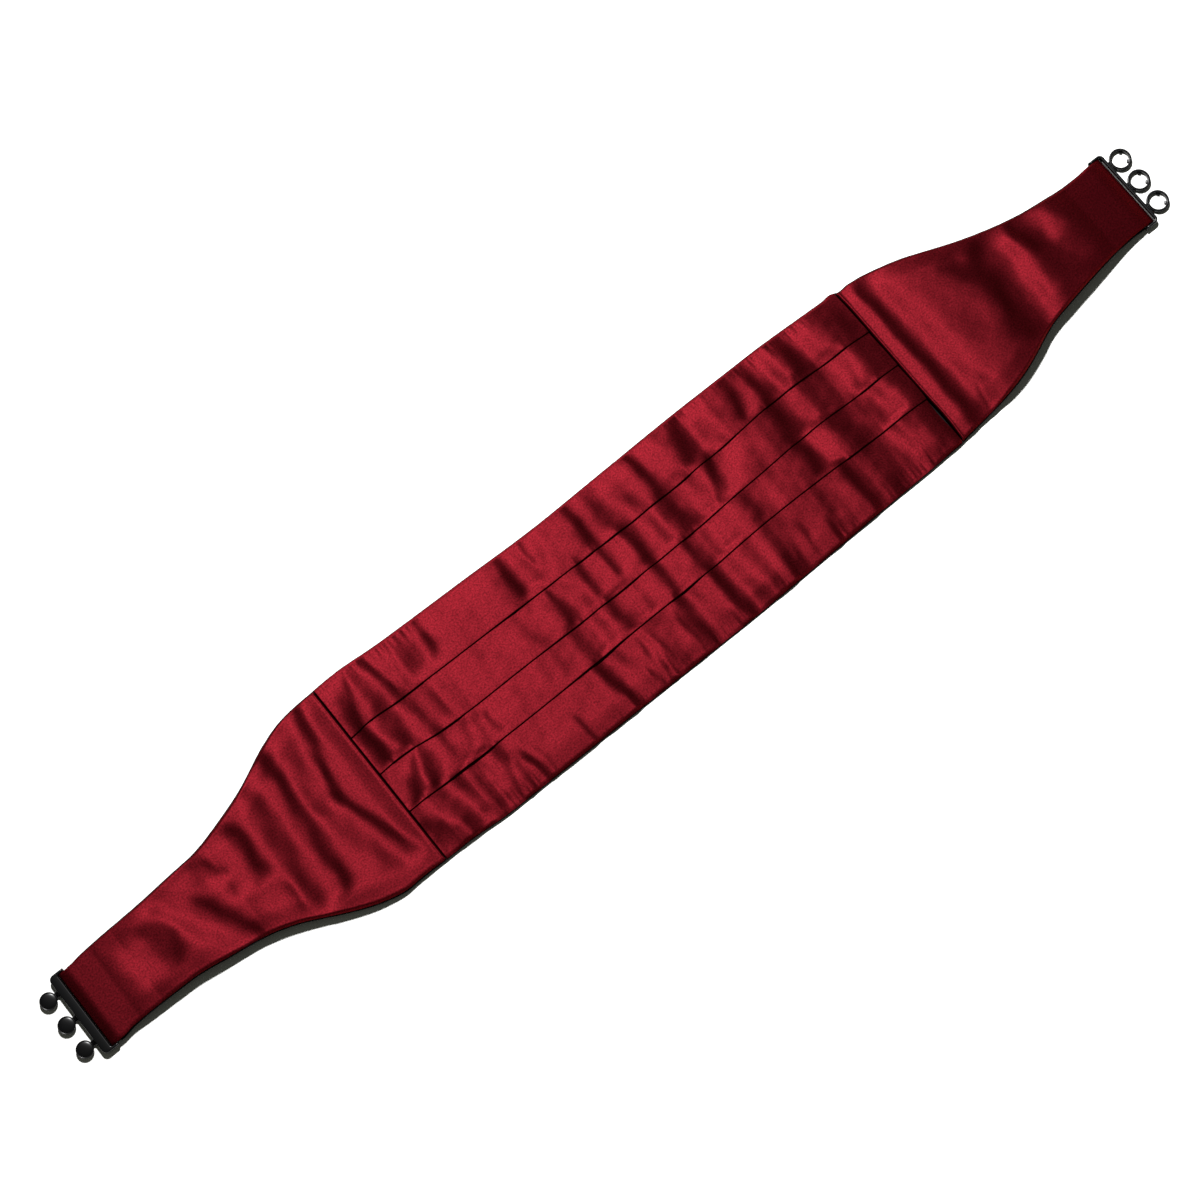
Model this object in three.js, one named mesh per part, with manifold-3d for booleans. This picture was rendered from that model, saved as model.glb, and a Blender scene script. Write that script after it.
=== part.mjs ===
// A satin cummerbund laid out flat, satin side up: a pleated centre panel between two tapered wings,
// a black backing under all three, and a moulded fitting on each strap end. Millimetres, +Z up,
// +X from the stud end to the ring end, +Y towards the upper edge as worn.
import * as THREE from "three";
import { mergeVertices } from "three/addons/utils/BufferGeometryUtils.js";
import Module from "manifold-3d";

const wasm = await Module();
wasm.setup();

// Cloth sizes
const leftWingLength = 211;
const panelLength = 394;
const rightWingLength = 182;
const strapWidth = 51;
const panelHeight = 125;
const satinWall = 1;
const backingWall = 1;
const backingMargin = 0.8;
const pleatUnderlap = 7;
const tabLength = 9;
const troughReach = 3;

// Lie of the cloth: how high the straps arch off the surface, the lift at the seams, the satin's loft and
// the stretches over which it fades out beside a seam, behind a bar and past the end of a fold
const leftArch = 4.3;
const rightArch = 6.3;
const seamLift = 1;
const satinLoft = 2;
const seamFade = 6;
const barFade = 18;
const foldFade = 7;

// Clearances
const clothGap = 0.3;
const seamGap = 0.6;
const armClearance = 0.3;

// Sizes that both fittings share
const barThickness = 1.8;
const frameThickness = 3.4;
const frameBottom = 1;
const sideArm = 1.6;
const cornerRadius = 3.2;
const edgeRound = 0.4;
const fittingPitch = 17.3;
const fittingCount = 3;

// Stud fitting
const studOuterBar = 4;
const studEndGap = 0.6;
const studInnerBar = 3.4;
const studReach = 9.8;
const studCapRadius = 5.2;
const studCapThickness = 1.2;
const studCrownRadius = 4.2;
const studCrownHeight = 0.4;
const studPostRadius = 2.4;
const studFootRadius = 3.2;
const studFootThickness = 0.9;
const studHeight = 3.1;
const neckWidth = 3.6;
const neckRootWidth = 6.4;
const neckFlare = 2.9;
const neckTopDrop = 0.8;

// Ring fitting
const ringOuterBar = 1.4;
const ringEndGap = 0.3;
const ringInnerBar = 6.3;
const ringReach = 7.6;
const ringOuterRadius = 7;
const ringBoreRadius = 5.5;
const ringHeight = 2.6;
const ringWebWidth = 6.5;
const ringRim = 0.3;
const toothTurns = [-45, 45];
const toothLength = 1.3;
const toothWidth = 1.7;
const toothHeight = 1.1;

// Spacing of the facets
const clothStep = 9.5;
const rowsAcrossWing = 9;
const lowerStripRows = 3;
const roundSides = 20;

// Left wing, from the satin end (0) to the seam (1). upper and lower say how far each edge has flared
// from the strap's half width (0) to the panel's half height (1), arch is a share of leftArch.
const leftWingRows = [
  { at: 0.0, upper: 0.0, lower: 0.0, arch: 0.0 },
  { at: 0.03, upper: 0.0, lower: 0.0, arch: 0.0 },
  { at: 0.07, upper: 0.02, lower: -0.03, arch: 0.45 },
  { at: 0.14, upper: 0.04, lower: -0.04, arch: 0.9 },
  { at: 0.27, upper: 0.07, lower: -0.03, arch: 1.0 },
  { at: 0.4, upper: 0.13, lower: 0.07, arch: 0.94 },
  { at: 0.47, upper: 0.16, lower: 0.13, arch: 0.87 },
  { at: 0.53, upper: 0.24, lower: 0.21, arch: 0.8 },
  { at: 0.6, upper: 0.36, lower: 0.36, arch: 0.68 },
  { at: 0.67, upper: 0.5, lower: 0.56, arch: 0.54 },
  { at: 0.73, upper: 0.66, lower: 0.72, arch: 0.38 },
  { at: 0.8, upper: 0.85, lower: 0.87, arch: 0.22 },
  { at: 0.87, upper: 0.98, lower: 0.95, arch: 0.1 },
  { at: 0.93, upper: 1.03, lower: 0.94, arch: 0.03 },
  { at: 1.0, upper: 1.05, lower: 0.95, arch: 0.0 },
];

// Right wing, from the satin end (0) to the seam (1), with the same columns. arch is a share of rightArch.
const rightWingRows = [
  { at: 0.0, upper: 0.0, lower: 0.0, arch: 0.0 },
  { at: 0.05, upper: 0.0, lower: 0.0, arch: 0.0 },
  { at: 0.08, upper: -0.02, lower: 0.0, arch: 0.2 },
  { at: 0.17, upper: -0.04, lower: 0.03, arch: 0.74 },
  { at: 0.25, upper: -0.01, lower: 0.08, arch: 0.95 },
  { at: 0.34, upper: 0.04, lower: 0.15, arch: 1.0 },
  { at: 0.42, upper: 0.12, lower: 0.22, arch: 1.0 },
  { at: 0.51, upper: 0.24, lower: 0.31, arch: 0.97 },
  { at: 0.6, upper: 0.39, lower: 0.48, arch: 0.89 },
  { at: 0.68, upper: 0.55, lower: 0.63, arch: 0.75 },
  { at: 0.76, upper: 0.71, lower: 0.73, arch: 0.53 },
  { at: 0.85, upper: 0.84, lower: 0.8, arch: 0.27 },
  { at: 0.93, upper: 0.92, lower: 0.84, arch: 0.07 },
  { at: 1.0, upper: 0.94, lower: 0.88, arch: 0.0 },
];

// Centre panel, from the left seam (0) to the right seam (1). upper, fold1 to fold3 and lower are heights
// as shares of the panel's half height, lift is a share of seamLift.
const panelRows = [
  { at: 0.0, upper: 1.03, fold1: 0.46, fold2: 0.02, fold3: -0.42, lower: -0.97, lift: 1.0 },
  { at: 0.04, upper: 1.04, fold1: 0.47, fold2: 0.03, fold3: -0.42, lower: -0.97, lift: 1.0 },
  { at: 0.12, upper: 1.01, fold1: 0.45, fold2: -0.02, fold3: -0.43, lower: -1.0, lift: 0.7 },
  { at: 0.27, upper: 0.99, fold1: 0.44, fold2: -0.03, fold3: -0.43, lower: -1.0, lift: 0.15 },
  { at: 0.41, upper: 0.97, fold1: 0.43, fold2: -0.03, fold3: -0.41, lower: -1.0, lift: 0.0 },
  { at: 0.55, upper: 0.99, fold1: 0.43, fold2: -0.02, fold3: -0.4, lower: -1.0, lift: 0.0 },
  { at: 0.72, upper: 1.01, fold1: 0.46, fold2: 0.02, fold3: -0.37, lower: -0.98, lift: 0.0 },
  { at: 0.84, upper: 1.01, fold1: 0.5, fold2: 0.05, fold3: -0.38, lower: -0.96, lift: 0.2 },
  { at: 0.93, upper: 0.99, fold1: 0.48, fold2: 0.04, fold3: -0.39, lower: -0.95, lift: 0.7 },
  { at: 1.0, upper: 0.97, fold1: 0.46, fold2: 0.03, fold3: -0.4, lower: -0.93, lift: 1.0 },
];

// Folds in the satin, each a soft trough along a line from its upper end to its lower end. from and to are
// shares of the piece's length, up and down shares of the panel's half height, width is in millimetres and
// depth is a share of satinLoft.
const leftWingFolds = [
  { from: 0.29, to: 0.28, up: 0.11, down: -0.1, width: 10, depth: 0.6 },
  { from: 0.39, to: 0.48, up: 0.2, down: -0.44, width: 8, depth: 0.8 },
  { from: 0.5, to: 0.52, up: 0.36, down: 0.18, width: 8, depth: 0.7 },
  { from: 0.6, to: 0.6, up: 0.45, down: 0.0, width: 8, depth: 0.9 },
  { from: 0.79, to: 0.75, up: 0.8, down: -0.57, width: 9, depth: 1.0 },
  { from: 0.93, to: 0.88, up: 1.0, down: 0.2, width: 8, depth: 0.8 },
  { from: 0.96, to: 0.96, up: -0.2, down: -0.8, width: 8, depth: 0.8 },
];
const rightWingFolds = [
  { from: 0.4, to: 0.37, up: 0.4, down: 0.04, width: 9, depth: 1.0 },
  { from: 0.39, to: 0.41, up: 0.0, down: -0.38, width: 12, depth: 0.6 },
  { from: 0.55, to: 0.61, up: 0.42, down: -0.46, width: 13, depth: 1.0 },
  { from: 0.69, to: 0.64, up: 0.48, down: 0.2, width: 12, depth: 0.4 },
  { from: 0.93, to: 0.92, up: 0.84, down: -0.86, width: 8, depth: 1.0 },
];
const panelFolds = [
  { from: 0.08, to: 0.09, up: 1.0, down: 0.48, width: 8, depth: 0.9 },
  { from: 0.18, to: 0.18, up: 1.0, down: 0.6, width: 8, depth: 0.5 },
  { from: 0.33, to: 0.33, up: 1.0, down: 0.48, width: 8, depth: 0.8 },
  { from: 0.465, to: 0.465, up: 1.0, down: 0.48, width: 8, depth: 0.8 },
  { from: 0.51, to: 0.515, up: 1.0, down: 0.0, width: 10, depth: 1.0 },
  { from: 0.585, to: 0.6, up: 1.0, down: -0.4, width: 9, depth: 0.7 },
  { from: 0.67, to: 0.65, up: 1.0, down: 0.06, width: 10, depth: 0.9 },
  { from: 0.8, to: 0.81, up: 1.0, down: -0.36, width: 9, depth: 0.8 },
  { from: 0.875, to: 0.885, up: 1.0, down: 0.48, width: 9, depth: 1.0 },
  { from: 0.1, to: 0.1, up: 0.4, down: -0.4, width: 12, depth: 0.8 },
  { from: 0.86, to: 0.88, up: 0.45, down: -0.4, width: 12, depth: 0.9 },
  { from: 0.9, to: 0.905, up: 0.45, down: -0.4, width: 10, depth: 0.7 },
  { from: 0.36, to: 0.36, up: 0.4, down: -0.4, width: 10, depth: 0.6 },
  { from: 0.42, to: 0.425, up: 0.3, down: -0.4, width: 9, depth: 0.6 },
  { from: 0.04, to: 0.02, up: 0.0, down: -0.4, width: 12, depth: 1.0 },
  { from: 0.08, to: 0.12, up: -0.46, down: -1.0, width: 8, depth: 1.0 },
  { from: 0.15, to: 0.145, up: -0.46, down: -1.0, width: 8, depth: 0.6 },
  { from: 0.35, to: 0.37, up: -0.46, down: -1.0, width: 8, depth: 0.9 },
  { from: 0.44, to: 0.44, up: -0.46, down: -1.0, width: 8, depth: 0.7 },
  { from: 0.505, to: 0.515, up: -0.46, down: -1.0, width: 8, depth: 1.0 },
  { from: 0.575, to: 0.575, up: -0.46, down: -1.0, width: 8, depth: 1.0 },
  { from: 0.82, to: 0.835, up: -0.46, down: -1.0, width: 8, depth: 0.9 },
  { from: 0.875, to: 0.905, up: -0.46, down: -1.0, width: 14, depth: 1.0 },
];

// Sizes worked out from the named ones
const strapHalf = strapWidth / 2;
const panelHalf = panelHeight / 2;
const leftSeam = leftWingLength;
const rightSeam = leftWingLength + panelLength;
const satinLength = rightSeam + rightWingLength;
const layerStep = satinWall + clothGap;
const endLift = satinWall + clothGap;
const noseCentre = satinWall + clothGap + barThickness / 2;
const wrapRadius = barThickness / 2 + clothGap + satinWall / 2;
const barStart = satinWall + clothGap;
const satinRest = backingWall + clothGap + satinWall / 2;

function smoothStep(low, high, value) {
  const t = THREE.MathUtils.clamp((value - low) / (high - low), 0, 1);
  return t * t * (3 - 2 * t);
}

// Slope at a row between two stretches: the mean that keeps the curve within its rows, 0 at a crest
function rowSlope(first, second) {
  return first * second > 0 ? 2 * first * second / (first + second) : 0;
}

// A column of a table at any share: a cubic through the rows that never passes above or below them
function readRow(rows, column, share) {
  const at = THREE.MathUtils.clamp(share, 0, 1);
  const last = rows.length - 2;
  let k = 0;
  while (k < last && rows[k + 1].at < at) k += 1;
  const steepness = (n) => {
    const m = THREE.MathUtils.clamp(n, 0, last);
    return (rows[m + 1][column] - rows[m][column]) / (rows[m + 1].at - rows[m].at);
  };
  const span = rows[k + 1].at - rows[k].at;
  const slopeA = rowSlope(steepness(k - 1), steepness(k)) * span;
  const slopeB = rowSlope(steepness(k), steepness(k + 1)) * span;
  const t = (at - rows[k].at) / span;
  const tt = t * t;
  const ttt = tt * t;
  return (2 * ttt - 3 * tt + 1) * rows[k][column] + (ttt - 2 * tt + t) * slopeA
    + (3 * tt - 2 * ttt) * rows[k + 1][column] + (ttt - tt) * slopeB;
}

// Share of a wing from which the backing settles from the height of the bar to that of the seam
const settleShare = 0.3;

// Each wing is described from its satin end inwards, so one function makes both.
const leftWing = {
  rows: leftWingRows,
  folds: leftWingFolds,
  length: leftWingLength,
  arch: leftArch,
  innerBar: studInnerBar,
};
const rightWing = {
  rows: rightWingRows,
  folds: rightWingFolds,
  length: rightWingLength,
  arch: rightArch,
  innerBar: ringInnerBar,
};

// Upper edge, lower edge and underside of the cloth on a wing, at a distance in from its satin end
function wingPlan(wing, inward) {
  const share = inward / wing.length;
  const flare = panelHalf - strapHalf;
  return {
    upper: strapHalf + flare * readRow(wing.rows, "upper", share),
    lower: -strapHalf - flare * readRow(wing.rows, "lower", share),
    under: THREE.MathUtils.lerp(endLift, seamLift, smoothStep(settleShare, 1, share))
      + wing.arch * readRow(wing.rows, "arch", share),
  };
}

// The same three, and the three fold lines, on the centre panel
function panelPlan(x) {
  const share = (x - leftSeam) / panelLength;
  const height = (column) => panelHalf * readRow(panelRows, column, share);
  return {
    upper: height("upper"),
    lower: height("lower"),
    foldLines: [height("fold1"), height("fold2"), height("fold3")],
    under: seamLift * readRow(panelRows, "lift", share),
  };
}

// The plan anywhere along the whole length, for the backing
function planAt(x) {
  if (x < leftSeam) return wingPlan(leftWing, x);
  if (x > rightSeam) return wingPlan(rightWing, satinLength - x);
  return panelPlan(x);
}

// Share of the loft that the folds leave at a point: each trough is a bell across its line and fades
// past its two ends.
function foldRelief(folds, length, inward, y) {
  let left = 1;
  for (const fold of folds) {
    const up = fold.up * panelHalf;
    const down = fold.down * panelHalf;
    const along = THREE.MathUtils.clamp((up - y) / (up - down), 0, 1);
    const line = THREE.MathUtils.lerp(fold.from, fold.to, along) * length;
    const across = (inward - line) / (fold.width / 2);
    const fade = smoothStep(down - foldFade, down, y) * (1 - smoothStep(up, up + foldFade, y));
    left *= 1 - fold.depth * fade * Math.exp(-across * across);
  }
  return left;
}

// Height of the satin above its lowest lie. It falls to nothing at the rims, the seams and the bars: start
// is where it begins to rise, and startFade is how far that takes.
function satinHeight(folds, length, inward, y, plan, start, startFade) {
  const middle = (plan.upper + plan.lower) / 2;
  const half = (plan.upper - plan.lower) / 2;
  const rim = 1 - Math.min(1, Math.abs((y - middle) / half)) ** 4;
  const ends = smoothStep(start, start + startFade, inward) * smoothStep(0, seamFade, length - inward);
  return satinLoft * rim * ends * foldRelief(folds, length, inward, y);
}

// Cloth as a closed solid: grid[i][j] holds a point of its middle surface and the normal there. The two
// skins lie half a wall either side, and four strips close the edges.
function clothSolid(grid, wall) {
  const lines = grid.length;
  const points = grid[0].length;
  const positions = [];
  for (const side of [1, -1]) {
    for (const line of grid) {
      for (const { point, normal } of line) {
        positions.push(...point.clone().addScaledVector(normal, side * wall / 2).toArray());
      }
    }
  }
  const top = (i, j) => i * points + j;
  const base = (i, j) => (lines + i) * points + j;
  const faces = [];
  const quad = (a, b, c, d) => faces.push(a, b, c, a, c, d);
  for (let i = 0; i < lines - 1; i += 1) {
    for (let j = 0; j < points - 1; j += 1) {
      quad(top(i, j), top(i + 1, j), top(i + 1, j + 1), top(i, j + 1));
      quad(base(i, j), base(i, j + 1), base(i + 1, j + 1), base(i + 1, j));
    }
    const j = points - 1;
    quad(top(i + 1, 0), top(i, 0), base(i, 0), base(i + 1, 0));
    quad(top(i, j), top(i + 1, j), base(i + 1, j), base(i, j));
  }
  for (let j = 0; j < points - 1; j += 1) {
    const i = lines - 1;
    quad(top(0, j), top(0, j + 1), base(0, j + 1), base(0, j));
    quad(top(i, j + 1), top(i, j), base(i, j), base(i, j + 1));
  }
  const geometry = new THREE.BufferGeometry();
  geometry.setAttribute("position", new THREE.Float32BufferAttribute(positions, 3));
  geometry.setIndex(faces);
  return geometry;
}

// Evenly spaced values from low to high, no further apart than the step
function spaced(low, high, step) {
  const count = Math.max(1, Math.ceil((high - low) / step));
  return Array.from({ length: count + 1 }, (_, k) => low + (high - low) * k / count);
}

// Points on a half turn of a fold, from one layer down to the next: bulge is -1 for a fold that
// faces the lower edge and 1 for one that faces the upper edge.
function foldTurn(centreY, centreZ, bulge, steps) {
  const radius = layerStep / 2;
  return Array.from({ length: steps }, (_, k) => {
    const angle = Math.PI * (k + 1) / (steps + 1);
    const outward = new THREE.Vector2(bulge * Math.sin(angle), Math.cos(angle));
    return {
      y: centreY + radius * outward.x,
      z: centreZ + radius * outward.y,
      normal: bulge < 0 ? outward : outward.negate(),
    };
  });
}

// Section of the pleated panel in a plane across its length: each strip rises over the pleat below it,
// turns under at its fold line, runs back up under itself and turns again to start the next strip.
function pleatSection(plan) {
  const up = new THREE.Vector2(0, 1);
  const down = new THREE.Vector2(0, -1);
  const turnRadius = layerStep / 2;
  const highLayer = 2 * layerStep;
  const station = (y, z, normal) => ({ y, z, normal });
  const section = [];
  let start = plan.upper;
  for (const line of plan.foldLines) {
    const foldCentre = line + satinWall / 2 + turnRadius;
    const innerCentre = line + pleatUnderlap;
    const raised = innerCentre + turnRadius + satinWall + clothGap;
    section.push(station(start, 0, up));
    section.push(station((start + raised) / 2, highLayer / 2, up));
    section.push(station(raised, highLayer, up));
    section.push(station(foldCentre, highLayer, up));
    section.push(...foldTurn(foldCentre, 1.5 * layerStep, -1, 2));
    section.push(station(foldCentre, layerStep, down));
    section.push(station(innerCentre, layerStep, down));
    section.push(...foldTurn(innerCentre, layerStep / 2, 1, 1));
    section.push(station(innerCentre, 0, up));
    start = line - satinWall;
  }
  for (let k = 0; k <= lowerStripRows; k += 1) {
    section.push(station(THREE.MathUtils.lerp(start, plan.lower, k / lowerStripRows), 0, up));
  }
  return section;
}

// The pleated panel, from its lower edge to its upper one in each column, sheared up by the lie of the
// backing and by its own loft
function pleatedFront() {
  const grid = panelStations.map((x) => {
    const plan = panelPlan(x);
    return pleatSection(plan).reverse().map(({ y, z, normal }) => {
      const inward = x - leftSeam;
      const loft = satinHeight(panelFolds, panelLength, inward, y, plan, 0, seamFade);
      return {
        point: new THREE.Vector3(x, y, plan.under + satinRest + z + loft),
        normal: new THREE.Vector3(0, normal.x, normal.y),
      };
    });
  });
  return clothSolid(grid, satinWall);
}

// Distances in from the satin end at which the cloth of a wing has a row of corners: beside the inner
// bar, at the bottom of the trough behind it, at the end of the sewn tab and on to the seam. The backing
// uses the same ones, so that the sheets stay parallel.
function wingStations(wing) {
  const barEnd = barStart + wing.innerBar;
  const tabEnd = barEnd + tabLength;
  return [
    barEnd + clothGap,
    barEnd + troughReach,
    ...spaced(tabEnd, wing.length - seamGap / 2, clothStep),
  ];
}

const tabStationCount = 3;

const panelStations = spaced(leftSeam + seamGap / 2, rightSeam - seamGap / 2, clothStep);

// Path of a wing's satin from the end of its sewn tab, under the inner bar, round it and along to the
// seam. inward is the distance in from the satin end.
function wingPath(wing) {
  const underside = (inward) => wingPlan(wing, inward).under;
  const stations = wingStations(wing);
  const tab = stations.slice(0, tabStationCount).reverse().map((inward) => ({
    inward, z: underside(inward) - clothGap - satinWall / 2, normal: [0, -1],
  }));
  const wrap = [-90, -135, -180, -225, -270].map((degrees) => {
    const angle = THREE.MathUtils.degToRad(degrees);
    const normal = [Math.cos(angle), Math.sin(angle)];
    return {
      inward: noseCentre + wrapRadius * normal[0],
      z: noseCentre + wrapRadius * normal[1],
      normal,
    };
  });
  const overBar = { inward: barStart + wing.innerBar, z: noseCentre + wrapRadius, normal: [0, 1] };
  const along = stations.slice(1).map((inward) => ({
    inward, z: underside(inward) + satinRest, normal: [0, 1],
  }));
  return [...tab, ...wrap, overBar, ...along];
}

// A wing in its own frame, with inward along +X. The lower and upper rims swap for the wing that is
// turned to face the other way.
function wingCloth(wing, turned) {
  const trough = barStart + wing.innerBar + troughReach;
  const path = wingPath(wing);
  const grid = path.map(({ inward, z, normal }) => {
    const plan = wingPlan(wing, inward);
    return Array.from({ length: rowsAcrossWing }, (_, k) => {
      const share = k / (rowsAcrossWing - 1);
      const y = THREE.MathUtils.lerp(plan.lower, plan.upper, share);
      const onTop = normal[1] === 1;
      const loft = onTop ? satinHeight(wing.folds, wing.length, inward, y, plan, trough, barFade) : 0;
      return {
        point: new THREE.Vector3(inward, turned ? -y : y, z + loft),
        normal: new THREE.Vector3(normal[0], 0, normal[1]),
      };
    });
  });
  if (turned) grid.forEach((line) => line.reverse());
  return clothSolid(grid, satinWall);
}

// The backing: one flat sheet under the wings and the panel, a little wider than the satin
function backingCloth() {
  const stations = [
    ...wingStations(leftWing),
    ...panelStations,
    ...wingStations(rightWing).reverse().map((inward) => satinLength - inward),
  ];
  const grid = stations.map((x) => {
    const plan = planAt(x);
    return [plan.lower - backingMargin, plan.upper + backingMargin].map((y) => ({
      point: new THREE.Vector3(x, y, plan.under + backingWall / 2),
      normal: new THREE.Vector3(0, 0, 1),
    }));
  });
  return clothSolid(grid, backingWall);
}

// A closed mesh as a solid that can be joined and cut
function toSolid(geometry) {
  const bare = geometry.index ? geometry.toNonIndexed() : geometry.clone();
  bare.deleteAttribute("normal");
  bare.deleteAttribute("uv");
  const merged = mergeVertices(bare, 1e-4);
  const corners = merged.index.array;
  const triVerts = [];
  for (let k = 0; k < corners.length; k += 3) {
    const [a, b, c] = [corners[k], corners[k + 1], corners[k + 2]];
    if (a !== b && b !== c && c !== a) triVerts.push(a, b, c);
  }
  return new wasm.Manifold(new wasm.Mesh({
    numProp: 3,
    vertProperties: new Float32Array(merged.attributes.position.array),
    triVerts: new Uint32Array(triVerts),
  }));
}

function toGeometry(solid) {
  const mesh = solid.getMesh();
  const geometry = new THREE.BufferGeometry();
  geometry.setAttribute("position", new THREE.Float32BufferAttribute(mesh.vertProperties, 3));
  geometry.setIndex(Array.from(mesh.triVerts));
  return geometry;
}

// A box between two opposite corners
function block(low, high) {
  const size = high.map((value, k) => value - low[k]);
  const geometry = new THREE.BoxGeometry(...size);
  geometry.translate(...low.map((value, k) => value + size[k] / 2));
  return toSolid(geometry);
}

// A profile of radius and height turned about +Z
function turned(profile, sides) {
  const geometry = new THREE.LatheGeometry(profile.map(([r, z]) => new THREE.Vector2(r, z)), sides);
  geometry.rotateX(Math.PI / 2);
  return geometry;
}

// A plan outline given thickness between two heights, with softened rims
function slab(shape, bottom, thickness, round) {
  const geometry = new THREE.ExtrudeGeometry(shape, {
    depth: thickness - 2 * round,
    bevelEnabled: round > 0,
    bevelThickness: round,
    bevelSize: round,
    bevelOffset: -round,
    bevelSegments: 1,
    curveSegments: 5,
  });
  geometry.translate(0, 0, bottom + round);
  return toSolid(geometry);
}

// An outline in the X-Z plane given a width across Y
function slabAcross(shape, width) {
  const geometry = new THREE.ExtrudeGeometry(shape, { depth: width, bevelEnabled: false, curveSegments: 5 });
  geometry.rotateX(Math.PI / 2);
  geometry.translate(0, width / 2, 0);
  return toSolid(geometry);
}

// The frame of a fitting, in its own frame: x = 0 is the satin's end and +X points away from the strap.
// An outer bar and two arms stand round the strap, and the strap is turned round a thinner inner bar.
function fittingFrame(outerBar, endGap, innerBar) {
  const half = strapHalf + armClearance + sideArm;
  const outerFace = endGap + outerBar;
  const innerFace = -(barStart + innerBar);
  const innerCorner = sideArm / 2;
  const outline = new THREE.Shape();
  outline.moveTo(innerFace + innerCorner, -half);
  outline.lineTo(outerFace - cornerRadius, -half);
  outline.absarc(outerFace - cornerRadius, -half + cornerRadius, cornerRadius, -Math.PI / 2, 0, false);
  outline.lineTo(outerFace, half - cornerRadius);
  outline.absarc(outerFace - cornerRadius, half - cornerRadius, cornerRadius, 0, Math.PI / 2, false);
  outline.lineTo(innerFace + innerCorner, half);
  outline.absarc(innerFace + innerCorner, half - innerCorner, innerCorner, Math.PI / 2, Math.PI, false);
  outline.lineTo(innerFace, -half + innerCorner);
  outline.absarc(innerFace + innerCorner, -half + innerCorner, innerCorner, Math.PI, 1.5 * Math.PI, false);
  const window = block(
    [innerFace - sideArm, -strapHalf - armClearance, frameBottom - frameThickness],
    [endGap, strapHalf + armClearance, frameBottom + 2 * frameThickness],
  );
  const nose = barThickness / 2;
  const bar = new THREE.Shape();
  bar.moveTo(innerFace, noseCentre - nose);
  bar.lineTo(-noseCentre, noseCentre - nose);
  bar.absarc(-noseCentre, noseCentre, nose, -Math.PI / 2, Math.PI / 2, false);
  bar.lineTo(innerFace, noseCentre + nose);
  const body = slab(outline, frameBottom, frameThickness, edgeRound).subtract(window);
  return body.add(slabAcross(bar, 2 * (strapHalf + armClearance + sideArm / 2)));
}

// Places of the studs or rings across the strap
const middlePlace = (fittingCount - 1) / 2;
const fittingPlaces = Array.from({ length: fittingCount }, (_, k) => (k - middlePlace) * fittingPitch);

// Stud fitting: the frame, and three necks that slope down to mushroom studs on the surface
function studBar() {
  const outerFace = studEndGap + studOuterBar;
  const centre = outerFace + studReach;
  const capUnder = studHeight - studCapThickness;
  const stud = turned([
    [0, 0],
    [studFootRadius, 0],
    [studFootRadius, studFootThickness],
    [studPostRadius, studFootThickness],
    [studPostRadius, capUnder],
    [studCapRadius, capUnder],
    [studCapRadius, studHeight - studCrownHeight],
    [studCrownRadius, studHeight],
    [0, studHeight],
  ], roundSides);
  const neckTop = frameBottom + frameThickness - neckTopDrop;
  const side = new THREE.Shape();
  side.moveTo(outerFace - studOuterBar / 2, frameBottom + edgeRound);
  side.lineTo(outerFace, frameBottom + edgeRound);
  side.lineTo(centre - studCapRadius, 0);
  side.lineTo(centre, 0);
  side.lineTo(centre, studFootThickness);
  side.lineTo(centre - studCapRadius, studFootThickness);
  side.lineTo(outerFace, neckTop);
  side.lineTo(outerFace - studOuterBar / 2, neckTop);
  const plan = new THREE.Shape();
  const flareEnd = outerFace + neckFlare;
  plan.moveTo(outerFace - studOuterBar / 2, -neckRootWidth / 2);
  plan.lineTo(outerFace, -neckRootWidth / 2);
  plan.lineTo(flareEnd, -neckWidth / 2);
  plan.lineTo(centre, -neckWidth / 2);
  plan.lineTo(centre, neckWidth / 2);
  plan.lineTo(flareEnd, neckWidth / 2);
  plan.lineTo(outerFace, neckRootWidth / 2);
  plan.lineTo(outerFace - studOuterBar / 2, neckRootWidth / 2);
  const neck = slabAcross(side, 2 * neckRootWidth).intersect(slab(plan, 0, 2 * frameThickness, 0));
  let fitting = fittingFrame(studOuterBar, studEndGap, studInnerBar);
  for (const y of fittingPlaces) {
    fitting = fitting.add(neck.translate(0, y, 0)).add(toSolid(stud).translate(centre, y, 0));
  }
  return toGeometry(fitting);
}

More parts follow.
